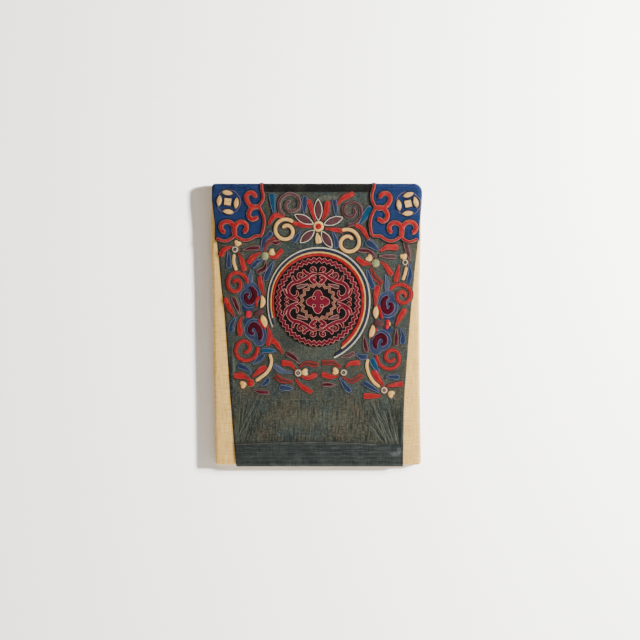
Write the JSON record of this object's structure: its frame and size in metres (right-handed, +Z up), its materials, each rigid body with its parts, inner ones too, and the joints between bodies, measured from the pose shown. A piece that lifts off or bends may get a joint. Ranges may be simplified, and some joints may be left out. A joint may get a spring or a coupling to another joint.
{
  "type": "textile wall hanging on a linen-covered board",
  "caption": "Appliqued and embroidered cloth panel with a round medallion, sewn over a linen-covered board that hangs flat on a wall.",
  "frame": {"origin": "middle of the flat back face of the board, halfway up", "axes": "+Z up, the front faces -Y, +Y out of the back face"},
  "size_m": [0.5324, 0.0366, 0.7121],
  "materials": {
    "linen": "natural linen canvas, plain weave, matt",
    "indigo_ground": "worn indigo cotton, faded grey-green, matt",
    "blue_cotton": "blue cotton, matt",
    "black_cloth": "black cotton with couched silk cord",
    "red_applique": "red silk applique with couched edge",
    "cream_applique": "cream silk applique, slightly glossy",
    "maroon_applique": "maroon silk applique with couched edge",
    "dark_velvet": "dark wine velvet pile",
    "green_button": "pale green silk over a padded button",
    "pale_cord": "pale silk cord",
    "navy_cord": "navy silk cord"
  },
  "bodies": {
    "root": {"linen_board": "linen", "ground_cloth": "indigo_ground", "bottom_band": "indigo_ground", "top_band": "black_cloth", "corner_patch_left": "blue_cotton", "corner_patch_right": "blue_cotton", "corner_trim_left": "red_applique", "corner_trim_right": "red_applique", "coin_left_top": "cream_applique", "coin_left_bottom": "cream_applique", "coin_left_outer": "cream_applique", "coin_left_inner": "cream_applique", "coin_left_square": "cream_applique", "coin_right_top": "cream_applique", "coin_right_bottom": "cream_applique", "coin_right_outer": "cream_applique", "coin_right_inner": "cream_applique", "coin_right_square": "cream_applique", "petal_top": "maroon_applique", "petal_right": "maroon_applique", "petal_low_right": "maroon_applique", "petal_low_left": "maroon_applique", "petal_left": "maroon_applique", "flower_ring": "cream_applique", "flower_heart": "red_applique", "flower_stub": "cream_applique", "spiral_mauve": "maroon_applique", "spiral_maroon": "maroon_applique", "spiral_cream_left": "cream_applique", "spiral_cream_right": "cream_applique", "spiral_red_upper_left": "red_applique", "spiral_red_upper_right": "red_applique", "spiral_red_lower_left": "red_applique", "spiral_red_lower_right": "red_applique", "hook_upper_left": "dark_velvet", "hook_lower_left": "dark_velvet", "hook_upper_right": "dark_velvet", "hook_lower_right": "dark_velvet", "crescent_upper_left": "cream_applique", "crescent_lower_left": "cream_applique", "crescent_upper_right": "cream_applique", "crescent_lower_right": "cream_applique", "ring_white": "pale_cord", "ring_navy": "navy_cord", "ring_cream": "cream_applique", "ring_red": "red_applique", "medallion": "black_cloth", "button_green_left": "green_button", "button_green_right": "green_button", "button_grey_left": "pale_cord", "button_grey_right": "pale_cord", "button_red_left": "red_applique", "button_pink_right": "pale_cord", "button_pale_left": "pale_cord", "button_pale_right": "pale_cord", "stem_upper_left": "cream_applique", "stem_upper_right": "cream_applique", "stem_lower_left": "cream_applique", "stem_lower_right": "cream_applique"}
  },
  "joints": []
}
